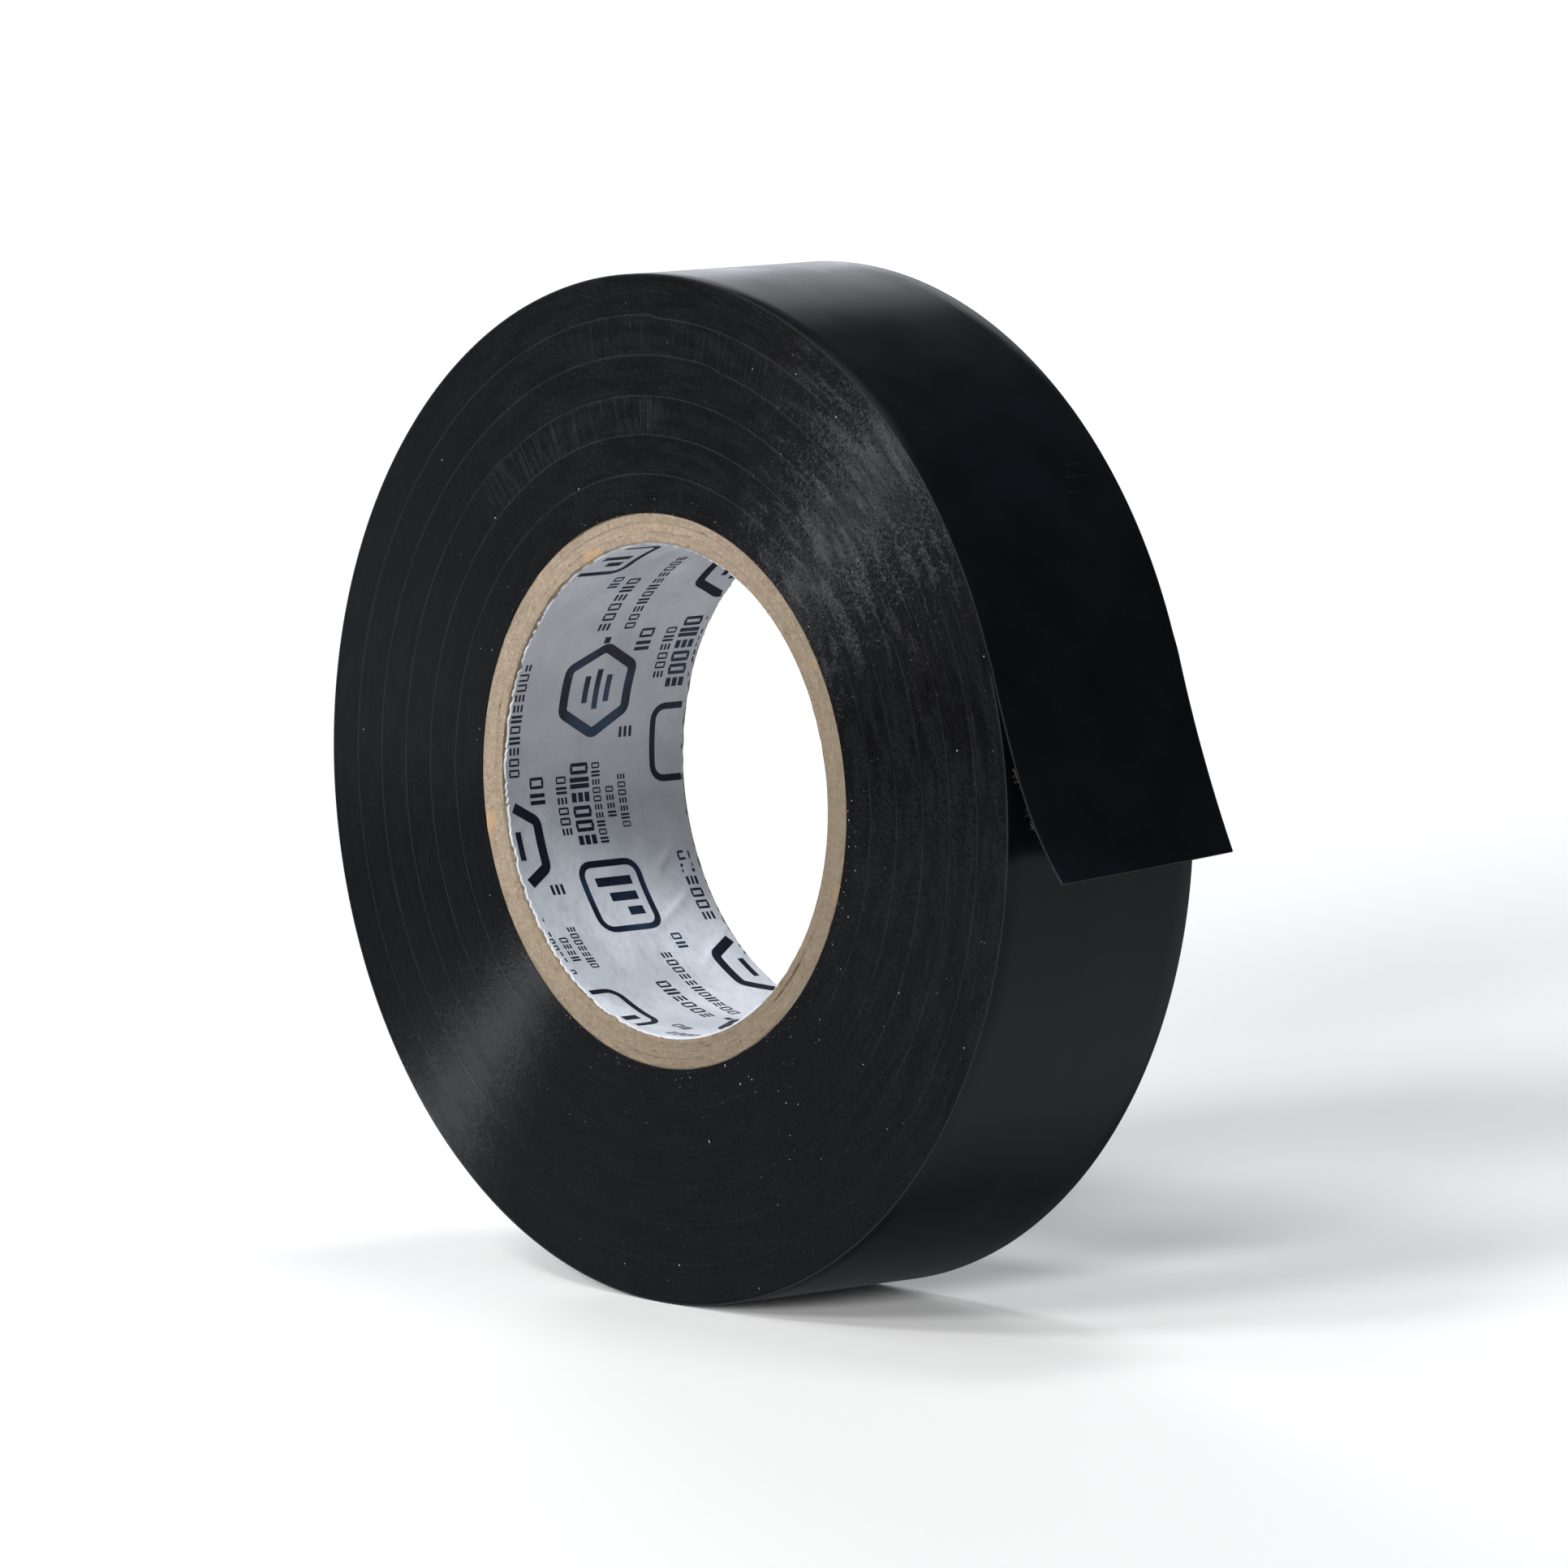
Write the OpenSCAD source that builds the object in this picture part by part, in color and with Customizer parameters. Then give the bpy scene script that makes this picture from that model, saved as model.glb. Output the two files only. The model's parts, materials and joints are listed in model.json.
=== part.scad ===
// A roll of electrical tape on a paper core, standing on its edge.
// Its axis lies along Y, +Z is up, and the origin is the centre of the bore.
// The outermost turn runs over the top and leaves the roll on the +X side as a short free end.

/* [Roll] */
// Diameter over the wound tape
roll_d = 80; // [60:1:120]
// Width of the tape
tape_w = 19; // [12:1:50]

/* [Tape] */
// Thickness of the tape, film and adhesive together
tape_t = 0.18; // [0.13:0.01:0.25]
// Thickness of the adhesive layer on the film's inner side
adhesive_t = 0.05; // [0.03:0.01:0.08]

/* [Core] */
// Bore through the printed liner
bore_d = 38.1; // [25:0.1:45]
// Wall of the core, liner included
core_wall = 2.5; // [1.5:0.1:5]
// Thickness of the printed liner
liner_t = 0.2; // [0.1:0.05:0.4]

/* [Free end] */
// Angle of the peel line above the level of the axis
peel_a = 18; // [0:1:60]
// Length of tape that has come away from the roll
free_l = 16.5; // [10:0.5:30]
// Outward curl from one segment of the free end to the next, at rest
curl_a = 2; // [0:0.1:4]

/* [Hidden] */

ply_count = 3;
band_count = 6;
segment_count = 5;
// Straight facets in one turn of the spiral
facets = 180;
$fn = 96;

// Gap left between solids that are glued or wound onto each other
seam = 0.05;
// Gap between the facing ends of two lengths of tape
end_gap = 0.05;
// Clearance under the free end when it is pressed back onto the roll
press_gap = 0.1;
// Chamfer that marks the line between two bands of turns
edge = 0.1;

bore_r = bore_d / 2;
core_r = bore_r + core_wall;
roll_r = roll_d / 2;
ply_t = (core_wall - liner_t) / ply_count;
band_t = (roll_r - core_r) / band_count;

// The free end's hinge lines lie on this radius when it is pressed back
hinge_r = roll_r - tape_t / 2 + press_gap;
segment_a = free_l / segment_count / hinge_r * 180 / PI;
segment_l = 2 * hinge_r * sin(segment_a / 2);
// How far the first segment has lifted at rest; each later one has turned twice as far
lift_a = (segment_a + curl_a) / 2;

paper_white = [0.85, 0.87, 0.9];
kraft = [0.74, 0.62, 0.46];
kraft_dark = [0.68, 0.55, 0.39];
film_black = [0.1, 0.1, 0.11];
film_grey = [0.17, 0.17, 0.19];
adhesive_grey = [0.3, 0.3, 0.32];

// Turns a shape drawn in the XY plane upright, so that its Y becomes Z and its Z becomes -Y
module upright() rotate([90, 0, 0]) children();

// A ring about the roll's axis, with chamfered edges
module ring(r_in, r_out, chamfer = 0) {
    half = tape_w / 2;
    upright() rotate_extrude() polygon([
        [r_in + chamfer, -half], [r_out - chamfer, -half], [r_out, chamfer - half],
        [r_out, half - chamfer], [r_out - chamfer, half], [r_in + chamfer, half],
        [r_in, half - chamfer], [r_in, chamfer - half]
    ]);
}

// Inner surface of the outermost turn: it starts one thickness down at the peel line and
// loses another thickness in a whole turn, measured counter-clockwise from that line
function spiral_r(turn) = roll_r - tape_t * (1 + turn);
function spiral_point(turn, rise) =
    (spiral_r(turn) + rise) * [cos(peel_a + 360 * turn), sin(peel_a + 360 * turn)];

// Part turns at which the spiral has its corners, from first to last
function corners(first, last) = [first, for (k = [1 : facets - 1]) k / facets, last];

// One layer of the outermost turn, between two heights above its inner surface
module outer_layer(low, high) {
    circumference = 2 * PI * roll_r;
    turns = corners((tape_t / 2 + end_gap) / circumference, 1 - end_gap / circumference);
    outside = [for (turn = turns) spiral_point(turn, high)];
    inside = [for (k = [len(turns) - 1 : -1 : 0]) spiral_point(turns[k], low)];
    upright() linear_extrude(tape_w, center = true) polygon(concat(outside, inside));
}

module printed_liner() color(paper_white) ring(bore_r, bore_r + liner_t);

module core_ply(i) {
    inner = bore_r + liner_t + (i - 1) * ply_t;
    color(i % 2 == 0 ? kraft_dark : kraft) ring(inner + seam, inner + ply_t);
}

module turns(i) {
    inner = core_r + (i - 1) * band_t;
    color(i % 2 == 0 ? film_grey : film_black)
        ring(inner + seam, inner + band_t, edge);
}

// The outermost band follows the spiral, and steps up where the last turn begins
module last_turns() {
    color(film_grey) upright() linear_extrude(tape_w, center = true) difference() {
        polygon([for (turn = corners(0, 1)) spiral_point(turn, 0)]);
        circle(core_r + (band_count - 1) * band_t + seam);
    }
}

module outer_turn_adhesive() color(adhesive_grey) outer_layer(0, adhesive_t);
module outer_turn_film() color(film_black) outer_layer(adhesive_t, tape_t);

// Hinge line of segment i while the free end is pressed back
function hinge(i) = let (a = peel_a - (i - 1) * segment_a) hinge_r * [cos(a), sin(a)];

module turn_about(point, angle) translate(point) rotate(angle) translate(-point) children();

// Lifts segment i from the pressed position to rest, with the segments before it
module lifted(i) {
    if (i == 0) children();
    else lifted(i - 1) turn_about(hinge(i), i == 1 ? lift_a : 2 * lift_a) children();
}

// One layer of a straight segment: a strip with a round nose about its hinge line
module segment_layer(i, low, high) {
    heading = peel_a - 90 - (i - 0.5) * segment_a;
    strip_l = segment_l - tape_t / 2 - end_gap;
    upright() linear_extrude(tape_w, center = true) lifted(i)
        translate(hinge(i)) rotate(heading) intersection() {
            union() {
                circle(tape_t / 2);
                translate([0, -tape_t / 2]) square([strip_l, tape_t]);
            }
            translate([-tape_t, low]) square([tape_t + segment_l, high - low]);
        }
}

module free_end_adhesive(i) color(adhesive_grey)
    segment_layer(i, -tape_t / 2, adhesive_t - tape_t / 2);
module free_end_film(i) color(i % 2 == 0 ? film_grey : film_black)
    segment_layer(i, adhesive_t - tape_t / 2, tape_t / 2);

printed_liner();
for (i = [1 : ply_count])
    core_ply(i);
for (i = [1 : band_count - 1])
    turns(i);
last_turns();  // turns_6
outer_turn_adhesive();
outer_turn_film();
for (i = [1 : segment_count])
    free_end_adhesive(i);
for (i = [1 : segment_count])
    free_end_film(i);
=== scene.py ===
# The looks of a roll of electrical tape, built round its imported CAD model. Lengths are in metres.
# The roll's axis is Y, and its front face looks along -Y. Angles turn from +X towards +Z.
import json
import math

import bmesh
import bpy
import numpy as np
from mathutils import Matrix, Vector

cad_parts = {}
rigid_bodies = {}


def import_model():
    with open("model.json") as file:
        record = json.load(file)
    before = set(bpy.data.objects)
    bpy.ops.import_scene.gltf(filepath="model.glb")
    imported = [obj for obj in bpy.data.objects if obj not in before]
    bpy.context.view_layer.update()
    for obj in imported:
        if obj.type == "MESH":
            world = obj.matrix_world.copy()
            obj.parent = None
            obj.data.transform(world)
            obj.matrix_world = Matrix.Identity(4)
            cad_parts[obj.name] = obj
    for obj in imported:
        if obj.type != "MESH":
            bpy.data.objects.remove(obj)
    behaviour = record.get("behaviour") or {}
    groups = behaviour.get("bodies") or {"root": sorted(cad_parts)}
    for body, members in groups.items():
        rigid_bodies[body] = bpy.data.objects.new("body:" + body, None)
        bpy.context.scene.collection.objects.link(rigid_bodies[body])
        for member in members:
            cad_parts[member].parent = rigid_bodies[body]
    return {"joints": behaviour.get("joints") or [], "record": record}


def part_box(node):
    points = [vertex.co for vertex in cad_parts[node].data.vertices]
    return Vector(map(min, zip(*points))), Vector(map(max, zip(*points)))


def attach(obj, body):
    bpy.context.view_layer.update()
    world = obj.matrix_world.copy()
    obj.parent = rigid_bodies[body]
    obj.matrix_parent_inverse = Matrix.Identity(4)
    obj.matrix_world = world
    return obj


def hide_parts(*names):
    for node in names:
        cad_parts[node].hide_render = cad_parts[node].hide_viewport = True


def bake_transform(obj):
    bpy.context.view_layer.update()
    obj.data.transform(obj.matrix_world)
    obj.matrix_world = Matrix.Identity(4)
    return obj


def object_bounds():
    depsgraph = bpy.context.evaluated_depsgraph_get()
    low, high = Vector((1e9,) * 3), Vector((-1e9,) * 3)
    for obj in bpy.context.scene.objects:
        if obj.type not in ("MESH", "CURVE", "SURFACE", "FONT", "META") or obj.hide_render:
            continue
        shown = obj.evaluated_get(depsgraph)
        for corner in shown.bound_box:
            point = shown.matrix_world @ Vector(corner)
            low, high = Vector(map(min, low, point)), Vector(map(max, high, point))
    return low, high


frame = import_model()
cad_box = [list(corner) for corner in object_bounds()]

MM = 0.001
TAU = 2 * math.pi
rng = np.random.default_rng(19)

# ---------------------------------------------------------------- sizes, from the frame

BANDS = 6                     # of wound turns
TURNS_IN_BAND = 17
BOARDS = 3                    # plies of the core
ROUND = 480                   # rows of points round the roll

joint_at = {joint["name"]: Vector(joint["pos_m"]) for joint in frame["joints"]}
hinges = [joint_at[name] for name in ("peel", "bend_2", "bend_3", "bend_4", "bend_5")]
half_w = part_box("turns_3")[1].y
bores = [mount for mount in frame["record"]["mounts"] if mount["kind"] == "bore"]
bore_r = bores[0]["dims"]["r_mm"] * MM
liner_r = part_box("printed_liner")[1].x
core_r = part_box("core_ply_3")[1].x
tape_t = 0.18 * MM
adhesive_t = 0.05 * MM
peel_a = math.atan2(hinges[0].z, hinges[0].x)
roll_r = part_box("outer_turn_film")[1].z + tape_t * (math.pi / 2 - peel_a) / TAU
band_t = (roll_r - 2 * tape_t - core_r) / BANDS


# ---------------------------------------------------------------- meshes

def skin(rows, wrap):
    """Points and faces of a closed solid over rows of points, each row being a closed outline.
    The rows join up in a ring if wrap is set, and otherwise each end is capped across its outline."""
    rows = np.asarray(rows, float)
    count, size = rows.shape[:2]
    grid = np.arange(count * size).reshape(count, size)
    ahead = np.roll(grid, -1, axis=0)
    quads = np.stack([grid, np.roll(grid, -1, axis=1), np.roll(ahead, -1, axis=1), ahead], axis=-1)
    faces = quads[:count if wrap else count - 1].reshape(-1, 4).tolist()
    if not wrap:
        for end in (grid[0], grid[-1]):
            for j in range(size // 2 - 1):
                cap = end[[j, j + 1, size - 2 - j, size - 1 - j]]
                faces.append(cap.tolist())
    return rows.reshape(-1, 3), faces


def join(solids):
    """Several solids as one list of points and one of faces."""
    points, faces, start = [], [], 0
    for solid_points, solid_faces in solids:
        points.append(solid_points)
        faces.extend([[corner + start for corner in face] for face in solid_faces])
        start += len(solid_points)
    return np.concatenate(points), faces


def piece(name, solid, material, body=None, sharp=40, masks=None):
    """A mesh object from one solid. masks are the named values that its material reads at each point."""
    points, faces = solid
    mesh = bpy.data.meshes.new(name)
    mesh.from_pydata(points.tolist(), [], faces)
    shape = bmesh.new()
    shape.from_mesh(mesh)
    bmesh.ops.recalc_face_normals(shape, faces=shape.faces)
    shape.to_mesh(mesh)
    shape.free()
    for mask, values in (masks or {}).items():
        values = np.asarray(values, np.float32)
        kind, field = ("FLOAT", "value") if values.size == len(points) else ("FLOAT_VECTOR", "vector")
        mesh.attributes.new(mask, kind, "POINT").data.foreach_set(field, values.ravel())
    mesh.shade_smooth()
    mesh.set_sharp_from_angle(angle=math.radians(sharp))
    mesh.materials.append(material)
    made = bpy.data.objects.new(name, mesh)
    bpy.context.scene.collection.objects.link(made)
    if body:
        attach(made, body)
    return made


def soft_noise(rows, count, waves):
    """Rows of smooth random values that close on themselves, with up to so many waves round."""
    spectrum = rng.normal(size=(rows, waves + 1)) + 1j * rng.normal(size=(rows, waves + 1))
    spectrum[:, 0] = 0
    values = np.fft.irfft(spectrum, n=count, axis=1)
    return values / values.std()


def smooth_step(value, low, high):
    """0 below low, 1 above high, and a smooth rise between them."""
    share = np.clip((value - low) / (high - low), 0, 1)
    return share * share * (3 - 2 * share)


def window(value, low, high, soft):
    """1 between low and high, falling to 0 over soft on each side."""
    return smooth_step(value, low - soft, low) * (1 - smooth_step(value, high, high + soft))


def turned(angle, away):
    """How far apart two directions round the axis are, in degrees from -180 to 180."""
    return (np.degrees(angle) - away + 180) % 360 - 180


# ---------------------------------------------------------------- materials

class Nodes:
    """Short calls that build a node tree."""

    def __init__(self, tree):
        self.tree = tree

    def add(self, kind, inputs=(), **settings):
        node = self.tree.nodes.new(kind)
        for key, value in settings.items():
            setattr(node, key, value)
        for key, value in dict(inputs).items():
            self.plug(value, node.inputs[key])
        return node

    def plug(self, value, socket):
        if isinstance(value, bpy.types.NodeSocket):
            self.tree.links.new(value, socket)
        else:
            socket.default_value = value

    def math(self, operation, *values):
        return self.add("ShaderNodeMath", enumerate(values), operation=operation).outputs[0]

    def vector(self, operation, *values):
        node = self.add("ShaderNodeVectorMath", enumerate(values), operation=operation)
        return node.outputs["Value" if operation == "DOT_PRODUCT" else "Vector"]

    def apart(self, vector):
        return self.add("ShaderNodeSeparateXYZ", {"Vector": vector}).outputs

    def together(self, x, y, z):
        return self.add("ShaderNodeCombineXYZ", {"X": x, "Y": y, "Z": z}).outputs[0]

    def noise(self, place, scale, detail=2.0, roughness=0.5):
        """Smooth noise from 0 to 1 with so many waves to a unit of place."""
        inputs = {"Vector": place, "Scale": scale, "Detail": detail, "Roughness": roughness}
        return self.add("ShaderNodeTexNoise", inputs).outputs["Fac"]

    def span(self, value, low, high, first=0.0, second=1.0):
        """value's range from low to high, turned smoothly into first to second."""
        inputs = {"Value": value, "From Min": low, "From Max": high, "To Min": first, "To Max": second}
        return self.add("ShaderNodeMapRange", inputs, interpolation_type="SMOOTHSTEP").outputs[0]

    def mix(self, share, first, second):
        return self.add("ShaderNodeMix", {0: share, 6: first, 7: second}, data_type="RGBA").outputs[2]

    def squares(self, x, z):
        """x times x and z times z, added up."""
        return self.math("ADD", self.math("MULTIPLY", x, x), self.math("MULTIPLY", z, z))

    def mask(self, name):
        return self.add("ShaderNodeAttribute", attribute_name=name)

    def place(self):
        return self.add("ShaderNodeTexCoord").outputs["Object"]

    def bump(self, height, depth):
        return self.add("ShaderNodeBump", {"Height": height, "Distance": depth}).outputs[0]

    def polar(self, around, out):
        """A place for noise that is wound round the roll: around is its units in a radian, out its
        units in a metre of radius."""
        x, y, z = self.apart(self.place())
        radius = self.math("SQRT", self.squares(x, z))
        share = self.math("DIVIDE", around, radius)
        up = self.math("MULTIPLY", radius, out)
        side = self.math("MULTIPLY", y, 40.0)    # so that the roll's two sides differ
        return self.together(self.math("MULTIPLY", x, share), self.math("MULTIPLY", z, share),
                             self.math("ADD", up, side))


def new_material(name, **sockets):
    """A material whose plain values are set on its Principled shader's own sockets."""
    material = bpy.data.materials.new(name)
    material.use_nodes = True
    nodes = Nodes(material.node_tree)
    shader = material.node_tree.nodes["Principled BSDF"]
    for socket, value in sockets.items():
        shader.inputs[socket.replace("_", " ")].default_value = value
    return material, nodes, shader


def wound_tape_material():
    """The sides of the wound turns: near-black satin, with fine dashes along the tape that catch the
    light unevenly, pale grain, thin pale rings partly painted as highlight, scuffed arcs at the upper right
    that are partly painted highlight, and a paler, bluer tone towards the left."""
    material, nodes, shader = new_material("wound_tape", Anisotropic=1.0)
    shader.inputs["Specular IOR Level"].default_value = 0.25
    shader.inputs["Anisotropic Rotation"].default_value = 0.25
    place = nodes.place()
    x, _, z = nodes.apart(place)
    grain = nodes.noise(place, 4300.0, 2.0, 0.6)
    patches = nodes.noise(place, 420.0, 4.0, 0.65)
    dashes = nodes.noise(nodes.polar(60.0, 3900.0), 1.0, 2.0, 0.6)
    streaks = nodes.noise(nodes.polar(9.0, 2300.0), 1.0, 2.0, 0.5)
    radial = nodes.noise(nodes.polar(230.0, 300.0), 1.0, 2.0, 0.5)
    arcs = nodes.noise(nodes.polar(7.0, 950.0), 1.0, 4.0, 0.6)

    chatter = nodes.math("MULTIPLY", nodes.span(radial, 0.5, 0.7), nodes.mask("chatter").outputs["Fac"])
    broken = nodes.span(patches, 0.30, 0.60, 0.45, 1.0)
    ridge = nodes.math("MULTIPLY", nodes.mask("ridge").outputs["Fac"], broken)
    upper_right = nodes.span(nodes.math("ADD", x, z), -12 * MM, 22 * MM, 0.30, 1.0)
    slope = nodes.math("DIVIDE", nodes.math("MULTIPLY", x, z), nodes.squares(x, z))
    # scuff marks that are partly painted highlight: painted paler only near the angle where the gloss fans
    # out at the upper right
    scuffs_and_painted_highlight = nodes.math("MULTIPLY", nodes.span(arcs, 0.48, 0.62), nodes.span(slope, 0.30, 0.48, 0.0, 0.9))
    scuffs_and_painted_highlight = nodes.math("MULTIPLY", scuffs_and_painted_highlight, nodes.span(x, 0.0, 8 * MM))
    scuffs_and_painted_highlight = nodes.math("MULTIPLY", scuffs_and_painted_highlight, nodes.span(grain, 0.42, 0.58, 0.2, 1.0))

    # the tone grows paler and bluer towards the left
    paler_bluer_left = nodes.span(x, 15 * MM, -40 * MM, 0.0, 0.28)
    tint = nodes.mix(nodes.span(patches, 0.35, 0.7), (0.0004, 0.0004, 0.0005, 1), (0.0016, 0.0016, 0.0020, 1))
    tint = nodes.mix(paler_bluer_left, tint, (0.0078, 0.0082, 0.0116, 1))
    tint = nodes.mix(nodes.span(dashes, 0.55, 0.76, 0.0, 0.5), tint, (0.0075, 0.0072, 0.0084, 1))
    # painted highlight: paler scuffs where the gloss fans out at the upper right
    tint = nodes.mix(scuffs_and_painted_highlight, tint, (0.030, 0.0297, 0.033, 1))
    tint = nodes.mix(nodes.span(grain, 0.52, 0.74, 0.0, 0.6), tint, (0.0090, 0.0086, 0.0100, 1))
    # pale ridge lines; their strength round the roll is partly painted highlight
    tint = nodes.mix(nodes.math("MULTIPLY", ridge, 0.34), tint, (0.050, 0.050, 0.057, 1))
    tint = nodes.mix(nodes.math("MULTIPLY", chatter, 0.35), tint, (0.030, 0.030, 0.034, 1))
    nodes.plug(tint, shader.inputs["Base Color"])

    rough = nodes.span(grain, 0.38, 0.66, 0.40, 0.47)
    rough = nodes.math("ADD", rough, nodes.span(patches, 0.38, 0.62, -0.03, 0.03))
    uneven = nodes.math("MULTIPLY", nodes.span(arcs, 0.40, 0.60, -0.09, 0.10), upper_right)
    nodes.plug(nodes.math("ADD", rough, uneven), shader.inputs["Roughness"])

    worn = nodes.math("MULTIPLY", nodes.span(patches, 0.38, 0.60, 0.35, 1.0), upper_right)
    marks = nodes.math("ADD", dashes, nodes.math("MULTIPLY", streaks, 0.6))
    marks = nodes.math("ADD", marks, nodes.math("MULTIPLY", grain, 0.16))
    middle = 0.88                 # the marks' mean height, taken off so that no patch has a raised edge
    height = nodes.math("MULTIPLY", nodes.math("SUBTRACT", marks, middle), worn)
    height = nodes.math("ADD", height, nodes.math("MULTIPLY", chatter, 0.15))
    nodes.plug(nodes.bump(height, 0.14 * MM), shader.inputs["Normal"])
    tangent = nodes.add("ShaderNodeTangent", direction_type="RADIAL", axis="Y").outputs[0]
    nodes.plug(tangent, shader.inputs["Tangent"])
    return material


def tape_place(nodes):
    """Where a point lies on the flat tape: along it, across it and out from it."""
    return nodes.mask("tape_place").outputs["Vector"]


def film_material():
    """The tape's glossy PVC backing, with faint rolling marks along it, a few scratches across, and a painted
    highlight along its cut edges.
    """
    material, nodes, shader = new_material("pvc_film")
    shader.inputs["Specular IOR Level"].default_value = 0.12
    place = tape_place(nodes)
    along, across, _ = nodes.apart(place)
    grain = nodes.noise(place, 2600.0, 2.0, 0.5)
    blotches = nodes.noise(place, 160.0, 3.0, 0.5)
    rolled = nodes.noise(nodes.vector("MULTIPLY", place, (60.0, 3500.0, 0.0)), 1.0, 2.0, 0.5)
    scratches = ((-15.3, 5.6, 2.6), (-16.4, 6.4, 1.6), (-13.9, 4.4, 1.1))    # along, across, half length
    scuffs = 0.0
    for scratch_s, scratch_y, length in scratches:
        near_s = nodes.math("ABSOLUTE", nodes.math("SUBTRACT", along, scratch_s * MM))
        near_y = nodes.math("ABSOLUTE", nodes.math("SUBTRACT", across, scratch_y * MM))
        line = nodes.math("MULTIPLY", nodes.span(near_s, 0.02 * MM, 0.09 * MM, 1.0, 0.0),
                          nodes.span(near_y, 0.3 * length * MM, length * MM, 1.0, 0.0))
        scuffs = nodes.math("ADD", scuffs, line)
    scuffs = nodes.math("MULTIPLY", scuffs, nodes.span(grain, 0.35, 0.6))
    cut_edge_highlight = nodes.mask("cut_edge_highlight").outputs["Fac"]
    tint = nodes.mix(nodes.span(blotches, 0.3, 0.7), (0.0032, 0.0034, 0.0050, 1), (0.0048, 0.0051, 0.0072, 1))
    tint = nodes.mix(nodes.math("MULTIPLY", scuffs, 0.35), tint, (0.02, 0.02, 0.022, 1))
    # painted highlight: the cut edges are painted paler
    tint = nodes.mix(nodes.math("MULTIPLY", cut_edge_highlight, 0.8), tint, (0.045, 0.046, 0.052, 1))
    nodes.plug(tint, shader.inputs["Base Color"])
    rough = nodes.span(blotches, 0.3, 0.7, 0.20, 0.26)
    rough = nodes.math("ADD", rough, nodes.span(rolled, 0.3, 0.7, -0.02, 0.03))
    rough = nodes.math("ADD", rough, nodes.math("MULTIPLY", nodes.math("MAXIMUM", cut_edge_highlight, scuffs), 0.3))
    nodes.plug(rough, shader.inputs["Roughness"])
    height = nodes.math("ADD", nodes.math("MULTIPLY", rolled, 0.5), nodes.math("MULTIPLY", grain, 0.35))
    nodes.plug(nodes.bump(height, 0.0035 * MM), shader.inputs["Normal"])
    return material


def adhesive_material():
    """The black rubber adhesive on the tape's inner side: glossy, and pulled up into fine pimples."""
    material, nodes, shader = new_material("adhesive")
    shader.inputs["Specular IOR Level"].default_value = 0.4
    place = tape_place(nodes)
    pimples = nodes.noise(place, 3800.0, 3.0, 0.6)
    smears = nodes.noise(nodes.vector("MULTIPLY", place, (500.0, 120.0, 0.0)), 1.0, 2.0, 0.5)
    tint = nodes.mix(nodes.span(smears, 0.3, 0.7), (0.0030, 0.0028, 0.0028, 1), (0.0065, 0.0060, 0.0058, 1))
    nodes.plug(tint, shader.inputs["Base Color"])
    nodes.plug(nodes.span(smears, 0.3, 0.7, 0.16, 0.42), shader.inputs["Roughness"])
    nodes.plug(nodes.bump(pimples, 0.012 * MM), shader.inputs["Normal"])
    return material


def board_material(name, light, dark):
    """Kraft board cut across: a fine speckle of fibres, pale and dark, glue stains, a darker seam, painted
    shade in small pits, and painted shade towards the lower right.
    """
    material, nodes, shader = new_material(name, Roughness=0.92)
    shader.inputs["Specular IOR Level"].default_value = 0.2
    fibres = nodes.noise(nodes.polar(160.0, 2600.0), 1.0, 4.0, 0.7)
    place = nodes.place()
    mottle = nodes.noise(place, 1100.0, 4.0, 0.65)
    flecks = nodes.noise(place, 4200.0, 3.0, 0.6)
    stain = nodes.noise(place, 210.0, 2.0, 0.5)
    pit_shade = nodes.noise(place, 1700.0, 2.0, 0.5)
    seam = nodes.mask("seam").outputs["Fac"]
    tint = nodes.mix(nodes.span(fibres, 0.3, 0.7), dark, light)
    tint = nodes.mix(nodes.span(mottle, 0.35, 0.7, 0.0, 0.55), tint, (0.31, 0.255, 0.185, 1))
    tint = nodes.mix(nodes.span(flecks, 0.58, 0.72, 0.0, 0.6), tint, (0.44, 0.39, 0.32, 1))
    tint = nodes.mix(nodes.span(flecks, 0.42, 0.28, 0.0, 0.6), tint, (0.13, 0.092, 0.055, 1))
    tint = nodes.mix(nodes.span(stain, 0.62, 0.72, 0.0, 0.35), tint, (0.55, 0.30, 0.12, 1))
    # painted shade: dark spots stand for the shade in small pits
    tint = nodes.mix(nodes.span(pit_shade, 0.31, 0.25, 0.0, 0.75), tint, (0.06, 0.042, 0.026, 1))
    tint = nodes.mix(nodes.math("MULTIPLY", seam, 0.40), tint, (0.14, 0.10, 0.065, 1))
    x, _, z = nodes.apart(place)
    # painted shade: the board darkens towards the lower right
    painted_shade_lower_right = nodes.math("SUBTRACT", nodes.math("MULTIPLY", x, 0.8), nodes.math("MULTIPLY", z, 0.6))
    tint = nodes.mix(nodes.span(painted_shade_lower_right, -18 * MM, 20 * MM, 0.0, 0.55), tint, (0.10, 0.076, 0.050, 1))
    nodes.plug(tint, shader.inputs["Base Color"])
    height = nodes.math("ADD", mottle, nodes.math("MULTIPLY", flecks, 0.8))
    nodes.plug(nodes.bump(height, 0.02 * MM), shader.inputs["Normal"])
    return material


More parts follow.
